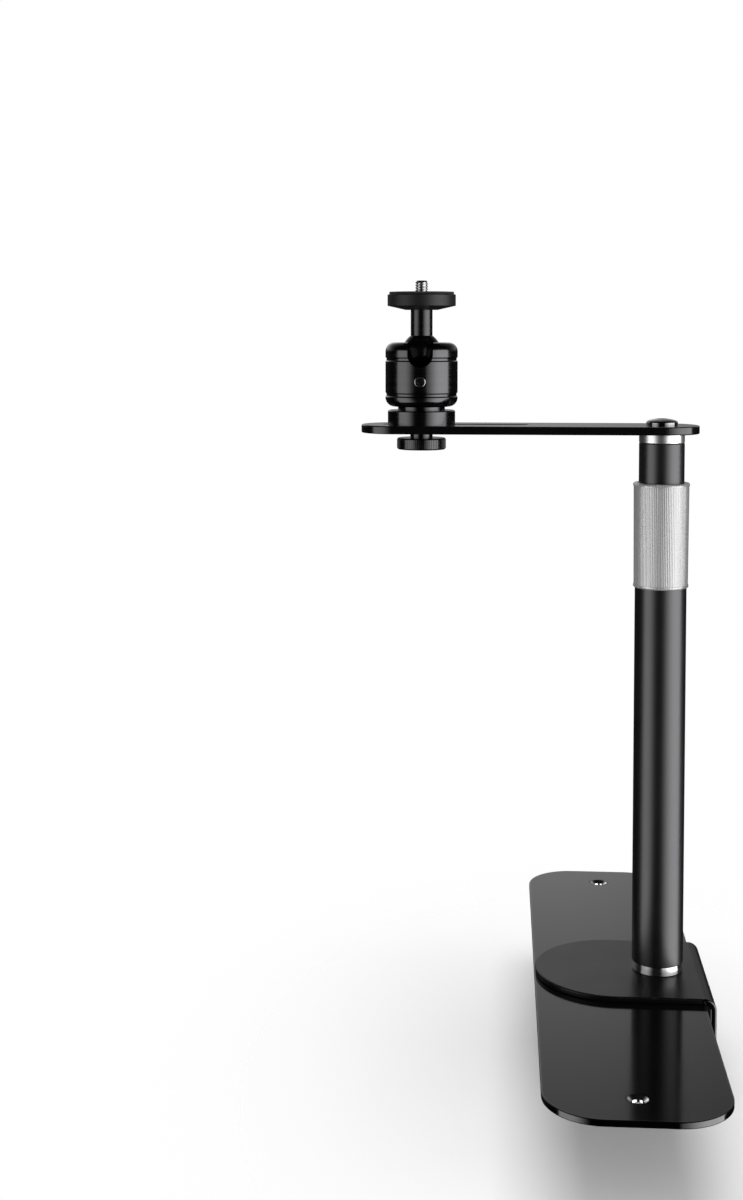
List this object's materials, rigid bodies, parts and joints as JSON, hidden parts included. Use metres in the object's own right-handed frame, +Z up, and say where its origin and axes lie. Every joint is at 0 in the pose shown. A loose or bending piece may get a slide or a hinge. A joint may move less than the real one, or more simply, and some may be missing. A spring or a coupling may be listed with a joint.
{
  "type": "projector bracket",
  "caption": "Black telescoping pole bracket with a swinging arm and tilting ball head, on a rounded base plate and a bent hook that sit over the top edge of a headboard.",
  "frame": {"origin": "middle of the base plate's underside, the face that sits on the headboard", "axes": "+X from the arm's free end towards the hook's flange, +Y along the base plate away from the viewer, +Z up along the pole"},
  "size_m": [0.171, 0.316, 0.3913],
  "materials": {
    "plate_black": "smooth semi-gloss black coating",
    "tube_black": "semi-gloss black coating",
    "head_black": "turned and black anodised",
    "disc_dark": "satin dark grey anodised",
    "ball_black": "polished black anodised",
    "ring_chrome": "bright chrome",
    "eyelet_bright": "bright nickel",
    "sleeve_silver": "silver with fine upright lines",
    "screw_black": "black oxide",
    "stud_steel": "bright steel thread",
    "pad_black": "matt black rubber"
  },
  "bodies": {
    "base": {"base_plate": "plate_black", "eyelet_near": "eyelet_bright", "eyelet_far": "eyelet_bright", "hook_bracket": "plate_black", "foot_bolt": "screw_black", "foot_ring": "ring_chrome", "lower_tube": "tube_black"},
    "sleeve": {"lock_sleeve": "sleeve_silver"},
    "mast": {"upper_tube": "tube_black", "top_ring": "ring_chrome", "pivot_screw": "screw_black"},
    "arm": {"arm_plate": "plate_black"},
    "carriage": {"head_base": "head_black", "head_neck": "head_black"},
    "thumb": {"thumb_screw": "head_black"},
    "head": {"ball_housing": "head_black", "set_screw": "screw_black"},
    "ball": {"ball_stem": "ball_black", "top_disc": "disc_dark", "top_pad": "pad_black", "projector_stud": "stud_steel"}
  },
  "joints": [
    {"name": "sleeve_twist", "type": "hinge", "parent": "base", "child": "sleeve", "pos_m": [0.0205, 0, 0.221], "axis": [0, 0, 1], "range_deg": [0, 180]},
    {"name": "mast_slide", "type": "slide", "parent": "base", "child": "mast", "axis": [0, 0, 1], "range_m": [-0.014, 0.12]},
    {"name": "arm_swing", "type": "hinge", "parent": "mast", "child": "arm", "pos_m": [0.0205, 0, 0.273], "axis": [0, 0, 1], "continuous": true},
    {"name": "head_slide", "type": "slide", "parent": "arm", "child": "carriage", "axis": [1, 0, 0], "range_m": [-0.015, 0.048]},
    {"name": "thumb_turn", "type": "hinge", "parent": "carriage", "child": "thumb", "pos_m": [-0.0965, 0, 0.266], "axis": [0, 0, 1], "continuous": true},
    {"name": "head_pan", "type": "hinge", "parent": "carriage", "child": "head", "pos_m": [-0.0965, 0, 0.2838], "axis": [0, 0, 1], "continuous": true},
    {"name": "head_tilt", "type": "hinge", "parent": "head", "child": "ball", "pos_m": [-0.0965, 0, 0.3106], "axis": [1, 0, 0], "range_deg": [-25, 80]}
  ]
}
